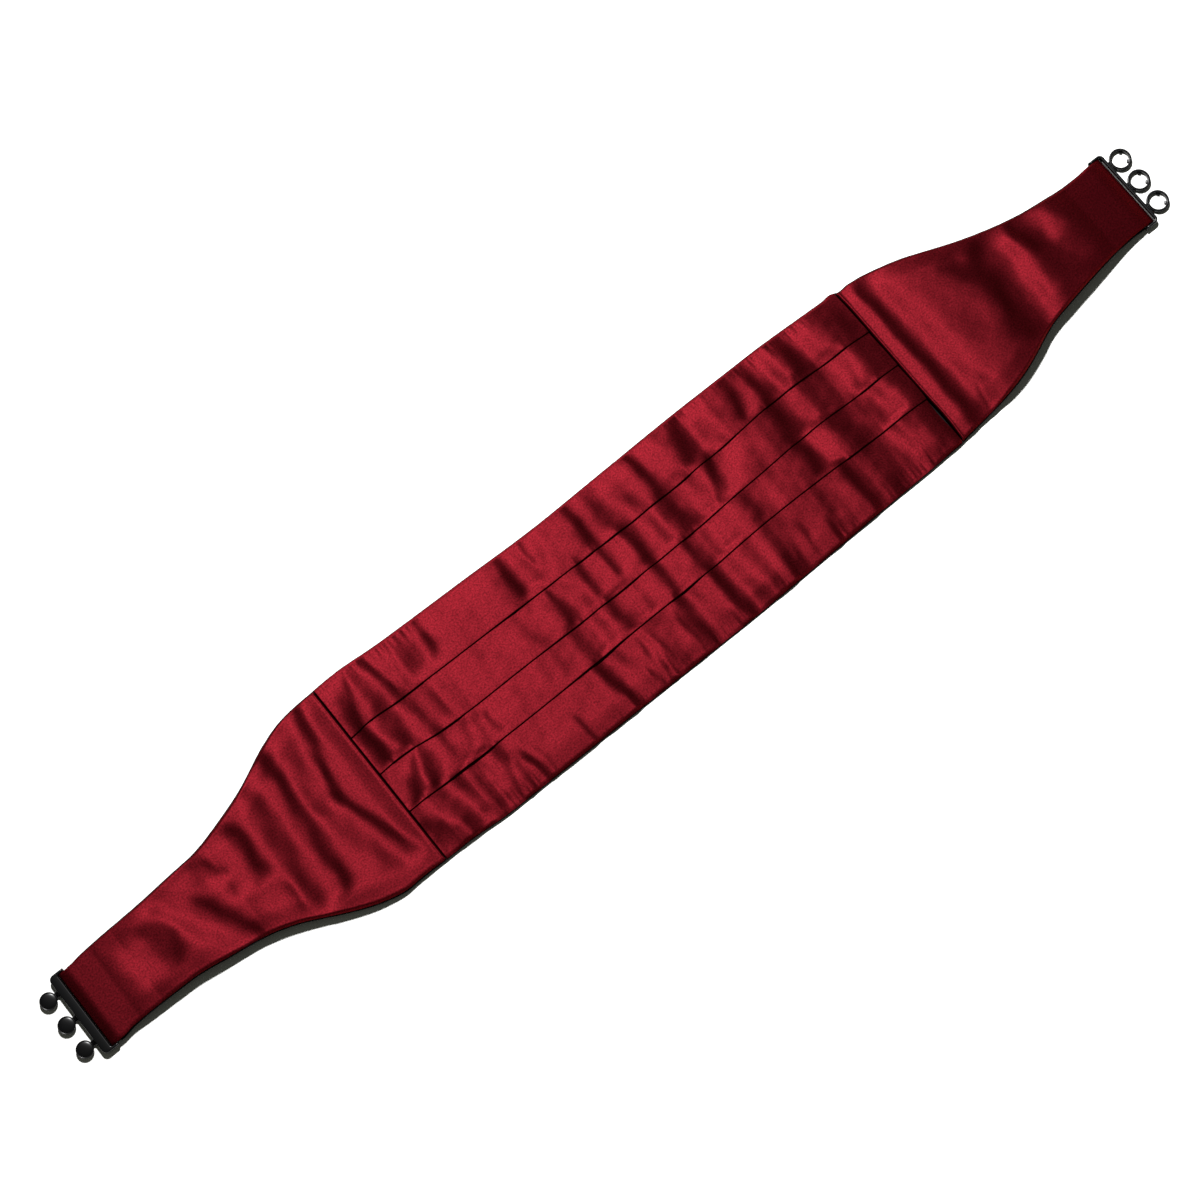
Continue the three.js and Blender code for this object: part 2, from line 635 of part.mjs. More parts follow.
// Ring fitting: the frame, and three toothed rings that lie on the surface, each on a short web
function ringBar() {
  const outerFace = ringEndGap + ringOuterBar;
  const centre = outerFace + ringReach;
  const ring = toSolid(turned([
    [ringBoreRadius, 0],
    [ringOuterRadius - ringRim, 0],
    [ringOuterRadius, ringRim],
    [ringOuterRadius, ringHeight - ringRim],
    [ringOuterRadius - ringRim, ringHeight],
    [ringBoreRadius + ringRim, ringHeight],
    [ringBoreRadius, ringHeight - ringRim],
    [ringBoreRadius, 0],
  ], roundSides));
  const bore = toSolid(turned([
    [0, -ringHeight],
    [ringBoreRadius + ringRim / 2, -ringHeight],
    [ringBoreRadius + ringRim / 2, 2 * ringHeight],
    [0, 2 * ringHeight],
  ], roundSides)).translate(centre, 0, 0);
  const web = block(
    [outerFace - ringOuterBar / 2, -ringWebWidth / 2, frameBottom],
    [centre, ringWebWidth / 2, ringHeight - ringRim],
  ).subtract(bore);
  const tooth = block(
    [ringBoreRadius - toothLength, -toothWidth / 2, ringRim],
    [ringBoreRadius + (ringOuterRadius - ringBoreRadius) / 2, toothWidth / 2, ringRim + toothHeight],
  );
  let socket = ring;
  for (const turn of toothTurns) socket = socket.add(tooth.rotate(0, 0, turn));
  socket = socket.translate(centre, 0, 0).add(web);
  let fitting = fittingFrame(ringOuterBar, ringEndGap, ringInnerBar);
  for (const y of fittingPlaces) fitting = fitting.add(socket.translate(0, y, 0));
  return toGeometry(fitting);
}

const burgundySatin = new THREE.MeshStandardMaterial({ color: 0xb0263a, roughness: 0.45, metalness: 0 });
const blackLining = new THREE.MeshStandardMaterial({ color: 0x121214, roughness: 0.8, metalness: 0 });
const blackPlastic = new THREE.MeshStandardMaterial({ color: 0x101012, roughness: 0.3, metalness: 0 });

function piece(name, geometry, material) {
  const mesh = new THREE.Mesh(geometry, material);
  mesh.name = name;
  return mesh;
}

const atRightEnd = new THREE.Group();
atRightEnd.position.x = satinLength;
const atLeftEnd = new THREE.Group();
atLeftEnd.rotation.z = Math.PI;
const rightWingPlace = new THREE.Group();
rightWingPlace.position.x = satinLength;
rightWingPlace.rotation.z = Math.PI;

atLeftEnd.add(piece("stud_bar", studBar(), blackPlastic));
atRightEnd.add(piece("ring_bar", ringBar(), blackPlastic));
rightWingPlace.add(piece("right_wing", wingCloth(rightWing, true), burgundySatin));

const laid = new THREE.Group();
laid.add(
  piece("pleated_front", pleatedFront(), burgundySatin),
  piece("left_wing", wingCloth(leftWing, false), burgundySatin),
  rightWingPlace,
  piece("backing", backingCloth(), blackLining),
  atLeftEnd,
  atRightEnd,
);
laid.updateMatrixWorld(true);

// The origin is the middle of the whole object's footprint, on the surface that it lies on
const reach = new THREE.Box3().setFromObject(laid, true);
const centre = reach.getCenter(new THREE.Vector3());
laid.position.set(-centre.x, -centre.y, -reach.min.z);

const cummerbund = new THREE.Group();
cummerbund.add(laid);
export default cummerbund;
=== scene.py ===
import math

import bmesh
import bpy
import numpy as np
from mathutils import Matrix, Vector


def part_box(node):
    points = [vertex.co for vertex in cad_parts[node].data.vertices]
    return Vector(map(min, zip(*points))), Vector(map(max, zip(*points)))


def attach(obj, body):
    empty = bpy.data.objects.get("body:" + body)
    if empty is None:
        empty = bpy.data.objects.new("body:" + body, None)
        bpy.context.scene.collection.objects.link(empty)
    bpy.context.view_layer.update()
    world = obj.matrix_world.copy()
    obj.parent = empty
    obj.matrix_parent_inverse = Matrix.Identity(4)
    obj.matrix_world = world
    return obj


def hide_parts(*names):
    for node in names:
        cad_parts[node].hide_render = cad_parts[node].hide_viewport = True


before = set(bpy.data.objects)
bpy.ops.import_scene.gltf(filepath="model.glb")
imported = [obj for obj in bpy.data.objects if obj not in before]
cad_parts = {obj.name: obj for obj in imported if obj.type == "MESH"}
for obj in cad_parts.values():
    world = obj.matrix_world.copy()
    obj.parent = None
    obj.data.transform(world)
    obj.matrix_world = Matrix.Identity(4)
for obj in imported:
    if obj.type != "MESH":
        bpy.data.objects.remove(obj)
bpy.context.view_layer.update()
mm = 0.001

# The backing
# One black woven cloth under the whole front, cut a little wider than the satin, with its rim turned in
# and pressed. It is what lies on the table, and shows only as a thin dark line round the edge.
lining_black = "#060607"
backing_wall = 1.0 * mm
backing_step = 2.0 * mm
backing_rows = 44
rim_rows = 7
rim_pucker = 0.06 * mm
rim_pucker_length = 5.5 * mm
rim_edge = 12
lining_thread = 0.5 * mm
lining_relief = 0.08 * mm
wave_period = 0.314


def corners_of(node):
    """Corners of one piece of the frame, one row each."""
    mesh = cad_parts[node].data
    flat = np.empty(3 * len(mesh.vertices), np.float32)
    mesh.vertices.foreach_get("co", flat)
    return flat.reshape(-1, 3).astype(float)


def outline_of(node):
    """Stations along X where a piece has corners, with its highest Y, lowest Y and lowest Z at each."""
    points = corners_of(node)
    at, row = np.unique(np.round(points[:, 0], 5), return_inverse=True)
    upper, lower, under = np.full((3, len(at)), [[-1.0], [1.0], [1.0]])
    np.maximum.at(upper, row, points[:, 1])
    np.minimum.at(lower, row, points[:, 1])
    np.minimum.at(under, row, points[:, 2])
    return at, upper, lower, under


def through(x, at, values):
    """A smooth curve through rows: between two rows a cubic whose slope at each row is that of its
    neighbours' chord."""
    slope = np.gradient(values, at)
    k = np.clip(np.searchsorted(at, x) - 1, 0, len(at) - 2)
    span = at[k + 1] - at[k]
    t = np.clip((x - at[k]) / span, 0, 1)
    bend = span * t * (1 - t) * (slope[k] * (1 - t) - slope[k + 1] * t)
    return values[k] * (1 + 2 * t) * (1 - t) ** 2 + values[k + 1] * t**2 * (3 - 2 * t) + bend


def ease(low, high, value):
    """0 below low, 1 above high, and 3tt - 2ttt of the share between them."""
    t = np.clip((value - low) / (high - low), 0, 1)
    return t * t * (3 - 2 * t)


def ripple(x, y, length, seed, waves=18):
    """Gentle uneven waves, about from -1 to 1: the mean of cosines in all directions, with wavelengths
    round the given length."""
    rng = np.random.default_rng(seed)
    turn = rng.uniform(0, math.pi, waves)
    reach = length * rng.uniform(0.6, 1.7, waves)
    phase = rng.uniform(0, 2 * math.pi, waves)
    total = np.zeros(np.broadcast(x, y).shape)
    for a, r, p in zip(turn, reach, phase):
        total += np.cos(2 * math.pi * (x * math.cos(a) + y * math.sin(a)) / r + p)
    return total / math.sqrt(waves)


def cloth_object(name, points, flat, closed=False):
    """A mesh from a grid of points: one face between each four neighbours, and round the last row too
    where the section is closed. The UV map holds the cloth's own flat coordinates in metres."""
    lines, rows = points.shape[:2]
    index = np.arange(lines * rows).reshape(lines, rows)
    if closed:
        index = np.hstack([index, index[:, :1]])
    quads = np.stack([index[:-1, :-1], index[1:, :-1], index[1:, 1:], index[:-1, 1:]], -1).reshape(-1, 4)
    mesh = bpy.data.meshes.new(name)
    mesh.from_pydata(points.reshape(-1, 3), [], quads)
    layer = mesh.uv_layers.new(name="cloth")
    layer.data.foreach_set("uv", flat.reshape(-1, 2)[quads.ravel()].astype(np.float32).ravel())
    mesh.shade_smooth()
    piece = bpy.data.objects.new(name, mesh)
    bpy.context.scene.collection.objects.link(piece)
    return piece


def colour(code):
    """Linear colour of an sRGB hex code."""
    part = np.array([int(code[k:k + 2], 16) for k in (1, 3, 5)]) / 255
    linear = np.where(part <= 0.04045, part / 12.92, ((part + 0.055) / 1.055) ** 2.4)
    return (*linear.tolist(), 1.0)


def add(tree, kind, links=None, **settings):
    """Adds one shader node. A setting that is the name of a socket fills it, any other is an attribute,
    and links maps sockets to what feeds them."""
    node = tree.nodes.new(kind)
    for key, value in settings.items():
        name = key.replace("_", " ")
        found = next((s for s in node.inputs if s.name.lower() == name), None)
        if found is None:
            setattr(node, key, value)
        else:
            found.default_value = value
    for socket, source in (links or {}).items():
        tree.links.new(source, node.inputs[socket])
    return node


def finish_of(name, roughness, metallic, **more):
    """A material with one shader on its output: the tree, and the shader to link textures to."""
    material = bpy.data.materials.new(name)
    material.use_nodes = True
    tree = material.node_tree
    shader = tree.nodes["Principled BSDF"]
    shader.inputs["Roughness"].default_value = roughness
    shader.inputs["Metallic"].default_value = metallic
    for socket, value in more.items():
        shader.inputs[socket.replace("_", " ")].default_value = value
    return material, tree, shader


def black_lining():
    """Plain-woven polyester lining: dull black, with the crossing threads just felt in the light. A wave
    texture repeats each 0.314 m at scale 1, which gives its scale for the thread spacing."""
    material, tree, shader = finish_of("black_polyester_lining", 0.85, 0.0, Specular_IOR_Level=0.15)
    shader.inputs["Base Color"].default_value = colour(lining_black)
    place = add(tree, "ShaderNodeUVMap", uv_map="cloth")
    threads = []
    for direction in ("X", "Y"):
        wave = add(tree, "ShaderNodeTexWave", {"Vector": place.outputs["UV"]}, bands_direction=direction,
                   scale=wave_period / lining_thread, distortion=1.2, detail=1.0)
        threads.append(wave.outputs["Fac"])
    weave = add(tree, "ShaderNodeMath", {0: threads[0], 1: threads[1]}, operation="MAXIMUM")
    bump = add(tree, "ShaderNodeBump", {"Height": weave.outputs[0]}, strength=0.5, distance=lining_relief)
    tree.links.new(bump.outputs["Normal"], shader.inputs["Normal"])
    return material


stations, rim_upper, rim_lower, lie = outline_of("backing")


def backing_points():
    """The section at each station is a flat ring, a half circle at each rim and straight between them,
    whose rims pucker in and out a little along the length."""
    count = int((stations[-1] - stations[0]) / backing_step)
    x = np.linspace(stations[0], stations[-1], count)
    half = backing_wall / 2
    turn = np.linspace(-math.pi / 2, math.pi / 2, rim_rows)
    across = np.linspace(0, 1, backing_rows)[1:-1]
    side = np.concatenate([np.ones(rim_rows), 1 - across, np.zeros(rim_rows), across])
    out = np.concatenate([half * np.cos(turn), 0 * across, -half * np.cos(turn), 0 * across])
    up = np.concatenate([half * np.sin(turn), half + 0 * across, -half * np.sin(turn), -half + 0 * across])
    upper = through(x, stations, rim_upper) - half
    lower = through(x, stations, rim_lower) + half
    middle = through(x, stations, lie) + half
    y = lower[:, None] + (upper - lower)[:, None] * side + out
    pucker = rim_pucker * ripple(x[:, None], 0 * y, rim_pucker_length, 4)
    rim = np.abs(2 * side - 1) ** rim_edge
    y = y + np.sign(side - 0.5) * rim * np.minimum(pucker, 0)
    z = middle[:, None] + up
    points = np.stack([np.broadcast_to(x[:, None], y.shape), y, z], -1)
    return points, points[..., :2]


points, flat = backing_points()
backing = cloth_object("backing_cloth", points[:, ::-1], flat[:, ::-1], closed=True)
backing.data.materials.append(black_lining())
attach(backing, "root")
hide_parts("backing")

# The pleated front
# One piece of burgundy satin laid in three knife pleats that face the lower edge, caught at the seams and
# along both rims. Stitching that gathers it there, and wear, have left creases across the strips.
satin_deep = "#3D080D"
satin_bright = "#6D141D"
satin_edge = "#C08086"
satin_roughness = 0.62
satin_stretch = 0.72
satin_lean = math.radians(8)
satin_grain = 1.1 * mm
satin_relief = 0.08 * mm
satin_rest = backing_wall + 0.5 * mm
satin_margin = 0.8 * mm
satin_loft = 5.2 * mm
satin_foot = 0.6 * mm
satin_step = 0.9 * mm
panel_half = 62.5 * mm
layer = 0.6 * mm
layer_press = 0.8
underlap = 7.0 * mm
underlap_sink = 0.3
strip_dome = 0.4 * mm
strip_rows = 34
strip_crowding = 1.3
fold_rows = 7
seam_roll = 0.4 * mm
seam_steps = np.array([0, 0.08, 0.2, 0.35, 0.55, 0.8, 1.15, 1.6]) * mm
seam_opening = 0.8 * mm
seam_opening_at = -0.61
seam_opening_reach = 0.2
seam_opening_fade = 6.0 * mm
seam_lead = 4.0 * mm
seam_fall = 14.0 * mm
seam_level = 0.5
rim_roll = 1.9 * mm
rim_fall = 13.0 * mm
rim_level = 0.6
rim_turn = 0.3 * mm
crease_clearance = 0.3 * mm
crease_slope = math.tan(math.radians(28))
crease_run = 1.5
crease_steepness = 2.6
crease_spread = 1.35
crease_limit = 6.0 * mm
crease_recovery = 1.1
crease_recovery_limit = 8.0 * mm
crease_step = 0.4 * mm
crease_fade = 0.25
crease_settle = 0.05
edge_from = 0.82
held_until = 0.15
crease_wander = 0.6 * mm
crease_wander_length = 20.0 * mm
broad_wave, broad_length = 0.25 * mm, 36.0 * mm
fine_wave, fine_length = 0.1 * mm, 12.0 * mm
sheen_turn = -100.0 * mm
pucker_height = 0.45 * mm
pucker_pitch = 5.0 * mm
pucker_reach = 6.0 * mm
pucker_inset = 2.0 * mm
pucker_patch = 60.0 * mm

# Heights of the three fold lines along the panel, as shares of half its height
line_names = ("first", "second", "third")
pleat_lines = np.array([
    (0.00, 0.46, 0.02, -0.42),
    (0.04, 0.47, 0.03, -0.42),
    (0.12, 0.45, -0.02, -0.43),
    (0.27, 0.44, -0.03, -0.43),
    (0.41, 0.43, -0.03, -0.41),
    (0.55, 0.43, -0.02, -0.40),
    (0.72, 0.46, 0.02, -0.37),
    (0.84, 0.50, 0.05, -0.38),
    (0.93, 0.48, 0.04, -0.39),
    (1.00, 0.46, 0.03, -0.40),
], dtype=[("at", float), *((name, float) for name in line_names)])

# Creases across the four strips, upper strip first: where each crosses the top and the bottom of its
# strip as shares of the panel's length, its width over and under in millimetres before crease_spread
# widens it, its depth as a share, and the stretch of the strip that it takes, from 0 at the top to 1
crease_columns = [(name, float) for name in ("top", "bottom", "over", "under", "depth", "start", "end")]
strip_creases = [np.array(rows, dtype=crease_columns) for rows in (
    [
        (0.052, 0.022, 4, 8, 0.8, 0.0, 1.0),
        (0.081, 0.094, 5, 5, 1.0, 0.0, 1.0),
        (0.128, 0.113, 3, 5, 0.35, 0.0, 0.9),
        (0.181, 0.175, 5, 8, 0.8, 0.0, 0.75),
        (0.333, 0.333, 4, 8, 0.9, 0.0, 1.0),
        (0.378, 0.371, 3, 4, 0.6, 0.0, 0.6),
        (0.464, 0.462, 5, 6, 1.0, 0.0, 1.0),
        (0.498, 0.499, 6, 14, 0.9, 0.0, 1.0),
        (0.584, 0.593, 4, 6, 0.85, 0.0, 1.0),
        (0.679, 0.657, 8, 11, 0.9, 0.0, 1.0),
        (0.781, 0.762, 5, 6, 0.7, 0.0, 1.0),
        (0.802, 0.817, 6, 8, 1.0, 0.0, 1.0),
        (0.874, 0.883, 6, 9, 1.0, 0.0, 1.0),
        (0.955, 0.960, 10, 16, 0.24, 0.0, 1.0),
    ],
    [
        (0.020, 0.023, 6, 8, 0.8, 0.0, 1.0),
        (0.096, 0.102, 9, 10, 1.0, 0.0, 1.0),
        (0.131, 0.135, 6, 5, 0.4, 0.0, 0.8),
        (0.297, 0.309, 4, 6, 0.16, 0.1, 0.9),
        (0.363, 0.365, 2.5, 9, 0.7, 0.1, 1.0),
        (0.423, 0.420, 5, 6, 0.55, 0.0, 0.8),
        (0.464, 0.462, 5, 5, 0.7, 0.0, 0.65),
        (0.512, 0.513, 9, 9, 0.9, 0.0, 1.0),
        (0.589, 0.596, 12, 13, 0.9, 0.0, 1.0),
        (0.682, 0.650, 7, 7, 0.8, 0.0, 0.85),
        (0.805, 0.806, 10, 11, 0.9, 0.0, 1.0),
        (0.867, 0.867, 18, 20, 1.0, 0.0, 1.0),
        (0.902, 0.900, 10, 8, 0.6, 0.0, 1.0),
        (0.964, 0.964, 6, 6, 0.30, 0.0, 0.9),
    ],
    [
        (0.063, 0.016, 6, 12, 1.0, 0.0, 1.0),
        (0.103, 0.102, 9, 10, 1.0, 0.0, 1.0),
        (0.143, 0.128, 6, 9, 0.5, 0.1, 1.0),
        (0.178, 0.178, 5, 7, 0.45, 0.3, 1.0),
        (0.309, 0.309, 8, 8, 0.16, 0.0, 0.9),
        (0.352, 0.355, 9, 12, 0.7, 0.0, 1.0),
        (0.426, 0.427, 8, 9, 0.85, 0.0, 1.0),
        (0.514, 0.514, 5, 6, 0.6, 0.0, 0.9),
        (0.572, 0.572, 6, 8, 0.8, 0.0, 1.0),
        (0.602, 0.602, 6, 7, 0.55, 0.0, 1.0),
        (0.685, 0.685, 6, 6, 0.3, 0.2, 0.8),
        (0.800, 0.802, 6, 8, 0.9, 0.0, 1.0),
        (0.880, 0.885, 20, 24, 1.0, 0.0, 1.0),
        (0.933, 0.934, 4, 5, 0.42, 0.0, 1.0),
    ],
    [
        (0.016, 0.022, 8, 10, 0.7, 0.4, 1.0),
        (0.085, 0.111, 11, 5, 1.0, 0.0, 1.0),
        (0.118, 0.131, 2.5, 3.5, 0.8, 0.35, 1.0),
        (0.155, 0.146, 10, 6, 0.9, 0.0, 1.0),
        (0.182, 0.194, 4, 4.5, 0.8, 0.4, 1.0),
        (0.206, 0.206, 2.5, 2.5, 0.4, 0.5, 1.0),
        (0.272, 0.283, 3, 3.5, 0.7, 0.45, 1.0),
        (0.347, 0.371, 7, 4.5, 1.0, 0.0, 1.0),
        (0.405, 0.409, 2.5, 4, 0.8, 0.55, 1.0),
        (0.420, 0.423, 3, 3, 0.5, 0.2, 0.7),
        (0.436, 0.438, 3, 4, 0.9, 0.6, 1.0),
        (0.440, 0.456, 5, 4, 0.4, 0.1, 0.8),
        (0.492, 0.493, 4, 4, 0.4, 0.2, 1.0),
        (0.507, 0.515, 6, 8, 1.0, 0.0, 1.0),
        (0.574, 0.582, 6, 7, 1.0, 0.0, 1.0),
        (0.671, 0.674, 3, 4, 0.7, 0.55, 1.0),
        (0.691, 0.691, 3, 4, 0.6, 0.6, 1.0),
        (0.718, 0.720, 3, 4, 0.4, 0.4, 1.0),
        (0.760, 0.761, 3, 3.5, 0.7, 0.6, 1.0),
        (0.832, 0.837, 6, 6, 1.0, 0.1, 1.0),
        (0.876, 0.890, 17, 22, 1.0, 0.0, 1.0),
    ],
)]

# Stretches where a pleat's edge stands off the strip below it: which fold, where along the panel, over
# what share of it, and how far in millimetres
gapes = np.array([
    (2, 0.11, 0.035, 1.2),
    (2, 0.36, 0.050, 1.0),
    (2, 0.52, 0.020, 0.5),
    (0, 0.30, 0.035, 0.6),
    (0, 0.50, 0.030, 0.5),
], dtype=[("fold", int), ("at", float), ("reach", float), ("lift", float)])


def crease_wall(across, side, width):
    """Shape across a crease, from 0 to 1: a steep wall over its width, then a slower climb back. The wall
    faces -X where side is -1, and +X where it is 1."""
    a = across * side / width
    climb = np.minimum(crease_recovery, crease_recovery_limit / width)
    return (0.5 + 0.5 * np.tanh(crease_steepness * a)) * np.exp(-0.5 * (np.maximum(a - 0.5, 0) / climb) ** 2)


def creased(x, y, creases):
    """How deep the creases are at a point: the sum over all of them. Each has its own line, width, hold
    and depth there, is deeper the wider it is, up to a limit, and wanders a little to both sides. Left of
    sheen_turn their walls face -X and right of it +X, which is where the satin's sheen leaves them dark."""
    x = x + crease_wander * ripple(x, y, crease_wander_length, 17)
    deep = np.zeros(np.broadcast(x, y).shape)
    for line, width, hold, share in creases:
        width = width * mm * crease_spread
        depth = np.minimum(crease_slope * width / crease_run, crease_limit) * share
        side = np.where(line < sheen_turn, -1, 1)
        deep = deep + depth * hold * crease_wall(x - line, side, width)
    return deep


def puckers(x, from_rim, seed):
    """Short gathers with sharp crests along a rim, in patches, that run out a few millimetres in."""
    patches = ease(-0.6, 0.8, ripple(x, 0 * x, pucker_patch, seed))
    small = (0.6 - np.abs(ripple(x, 0 * x, pucker_pitch, seed + 1))) * pucker_height
    return small * patches * np.exp(-((from_rim - pucker_inset) / pucker_reach) ** 2)


def lofted(rim, seam, deep, wave, loft=satin_loft):
    """Height of the satin over its lowest lie: its loft, which falls towards the rims and the seams, less
    the creases, which never reach the backing."""
    level = loft * (rim_level + (1 - rim_level) * ease(0, rim_fall, rim))
    level = level * (seam_level + (1 - seam_level) * ease(-seam_lead, seam_fall, seam))
    room = level - crease_clearance
    round_over = np.clip(1 - (1 - np.clip(rim / rim_roll, 0, 1)) ** 2, 0, 1)
    return (level - room * np.tanh(deep / room) + wave) * round_over


def waves(x, y, seed):
    """The small unevenness of the lie: broad waves and finer ones."""
    return broad_wave * ripple(x, y, broad_length, seed) + fine_wave * ripple(x, y, fine_length, seed + 1)


def opening(y):
    """How far the right seam has pulled open, most in its lower half."""
    return seam_opening * np.exp(-(((y - axis_y) / panel_half - seam_opening_at) / seam_opening_reach) ** 2)


def seam_shape(distance):
    """Share of its height that the cloth has beside a seam: a quarter round."""
    return np.sqrt(np.clip(1 - (1 - np.clip(distance / seam_roll, 0, 1)) ** 2, 0, 1))


def burgundy_satin():
    """Polyester duchesse satin: long threads floating along the front that throw the light back as a
    narrow coloured sheen along them and a wide one across them. They lean a few degrees, so the sheen is
    strongest a little left of where it would be on a plain cloth. The grain is drawn coarser than the
    real threads, which would be lost between the pixels."""
    material, tree, shader = finish_of(
        "burgundy_satin", satin_roughness, 0.9, Anisotropic=satin_stretch, Anisotropic_Rotation=0.25,
        Specular_IOR_Level=0.15, Specular_Tint=colour(satin_edge))
    place = add(tree, "ShaderNodeUVMap", uv_map="cloth")
    along = add(tree, "ShaderNodeTangent", direction_type="UV_MAP", uv_map="cloth")
    tree.links.new(along.outputs["Tangent"], shader.inputs["Tangent"])
    grain = add(tree, "ShaderNodeTexNoise", {"Vector": place.outputs["UV"]}, scale=1 / satin_grain,
                detail=1.5)
    tint = add(tree, "ShaderNodeValToRGB", {"Fac": grain.outputs["Fac"]})
    tint.color_ramp.elements[0].position = 0.22
    tint.color_ramp.elements[1].position = 0.78
    tint.color_ramp.elements[0].color = colour(satin_deep)
    tint.color_ramp.elements[1].color = colour(satin_bright)
    tree.links.new(tint.outputs["Color"], shader.inputs["Base Color"])
    bump = add(tree, "ShaderNodeBump", {"Height": grain.outputs["Fac"]}, strength=0.3, distance=satin_relief)
    lean = add(tree, "ShaderNodeVectorMath", {0: along.outputs["Tangent"]}, operation="SCALE")
    lean.inputs["Scale"].default_value = math.tan(satin_lean)
    leaned = add(tree, "ShaderNodeVectorMath", {0: bump.outputs["Normal"], 1: lean.outputs[0]},
                 operation="ADD")
    normal = add(tree, "ShaderNodeVectorMath", {0: leaned.outputs[0]}, operation="NORMALIZE")
    tree.links.new(normal.outputs[0], shader.inputs["Normal"])
    return material


satin = burgundy_satin()
axis_y = sum(corner.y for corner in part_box("stud_bar")) / 2
front_start, front_end = (corner.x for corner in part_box("pleated_front"))
front_length = front_end - front_start


def front_points():
    """Each column runs from the upper rim to the lower one: down a strip that climbs over the pleat under
    it, round the fold, back under, round again, and on with the next strip. All of it is lifted by the
    lie of the backing and the loft of the cloth, less the creases."""
    inner_start, inner_end = front_start + seam_steps[-1], front_end - seam_steps[-1]
    inner = np.linspace(inner_start, inner_end, int(front_length / satin_step))[1:-1]
    x = np.concatenate([front_start + seam_steps, inner, front_end - seam_steps[::-1]])[:, None]
    share = (x[:, 0] - front_start) / front_length
    upper = through(x, stations, rim_upper) - satin_margin
    lower = through(x, stations, rim_lower) + satin_margin
    folds = [axis_y + panel_half * through(share, pleat_lines["at"], pleat_lines[name])[:, None]
             for name in line_names]
    base = through(x, stations, lie) + satin_rest
    seam = np.minimum(x - front_start, front_end - x)

    def strip_deep(k, t, y):
        """How deep the creases of a strip are, t of the way down it."""
        creases = []
        for row in strip_creases[k]:
            line = front_start + front_length * (row["top"] + (row["bottom"] - row["top"]) * t)
            width = row["over"] + (row["under"] - row["over"]) * t
            hold = ease(row["start"] - crease_fade, row["start"] + crease_settle, t)
            hold = hold * (1 - ease(row["end"] - crease_settle, row["end"] + crease_fade, t))
            creases.append((line, width, hold, row["depth"]))
        return creased(x, y, creases)

    def height(y, deep):
        """Height of the satin over its lowest lie, with its creases, waves and puckers."""
        rim = np.minimum(upper - y, y - lower)
        wave = waves(x, y, 11) + puckers(x, y - lower, 13) + 0.5 * puckers(x, upper - y, 15)
        return lofted(rim, seam, deep, wave)

    def strip_height(k, t, y):
        """Height of the strip that the loop has come to: it starts as deep as the pleat above holds it
        down, climbs over the pleat under it, and ends within a small step of the next strip's creases."""
        deep = strip_deep(k, t, y) + drop * ease(edge_from, 1, t)
        if held is not None:
            deep = deep + (held - strip_deep(k, 0, start)) * (1 - ease(0.0, held_until, t))
        climb = high * ease(0.05, 0.8, t) + strip_dome * np.sin(math.pi * t) + gape * ease(0.5, 1, t)
        return base + climb + height(y, deep)

    edge = np.linspace(0, 0.9 * math.pi, 5)[None, 1:]
    turn = np.linspace(0, math.pi, fold_rows)[None, 1:]
    rows_y, rows_z = [], []
    start, held = upper, None
    for k in range(len(strip_creases)):
        last = k == len(strip_creases) - 1
        end = lower if last else folds[k] + layer / 2
        power = strip_crowding if k == 0 else 1
        high = 0 if last else 2 * layer
        below = None if last else strip_deep(k + 1, 0, end - layer / 2)
        deep_end = strip_deep(k, 1, end)
        drop = 0 if last else np.clip(deep_end, below - crease_step, below) - deep_end
        gape = np.zeros((len(x), 1))
        for row in gapes[gapes["fold"] == k]:
            gape[:, 0] += row["lift"] * mm * np.exp(-((share - row["at"]) / row["reach"]) ** 2)

        t = np.linspace(0, 1, strip_rows)[None, :]
        y = start + (end - start) * (1 - (1 - t) ** strip_crowding if last else t**power)
        if k == 0:
            rows_y.append(upper + rim_turn * np.sin(edge[:, ::-1]))
            rows_z.append(base + rim_turn * (np.cos(edge[:, ::-1]) - 1))
        rows_y.append(y)
        rows_z.append(strip_height(k, t, y))
        if last:
            rows_y.append(lower - rim_turn * np.sin(edge))
            rows_z.append(base + rim_turn * (np.cos(edge) - 1))
            break
        top = rows_z[-1][:, -1:]
        rows_y.append(end - layer / 2 * np.sin(turn))
        rows_z.append(top - layer / 2 + layer / 2 * np.cos(turn))
        inner = end + underlap
        back = end + underlap * np.linspace(0, 1, fold_rows)[None, 1:]
        under = strip_height(k, ((back - start) / (end - start)) ** (1 / power), back)
        under = under - layer * (1 + underlap_sink * (back - end) / underlap)
        rows_y.append(back)
        rows_z.append(under)
        rows_y.append(inner + layer / 2 * np.sin(turn))
        rows_z.append(under[:, -1:] - layer / 2 + layer / 2 * np.cos(turn))
        held = np.maximum(below, deep_end + drop - layer_press * layer)
        down = np.linspace(0, 1, fold_rows)[None, 1:-1]
        start = end - layer / 2
        rows_y.append(inner + (start - inner) * down)
        rows_z.append((under[:, ::-1][:, 1:] - layer) * (1 - down) + (base + height(start, held)) * down)
    y, z = (np.concatenate([np.broadcast_to(part, (len(x), part.shape[1])) for part in rows], 1)
            for rows in (rows_y, rows_z))
    foot = base - satin_foot
    z = foot + (z - foot) * seam_shape(seam)
    across = x - opening(y) * ease(front_end - seam_opening_fade, front_end, x)
    points = np.stack([across, y, z], -1)
    step = np.linalg.norm(np.diff(points, axis=1), axis=2)
    cut = np.concatenate([np.zeros((len(x), 1)), np.cumsum(step, 1)], 1)
    return points, np.stack([np.broadcast_to(x, y.shape), -cut], -1)


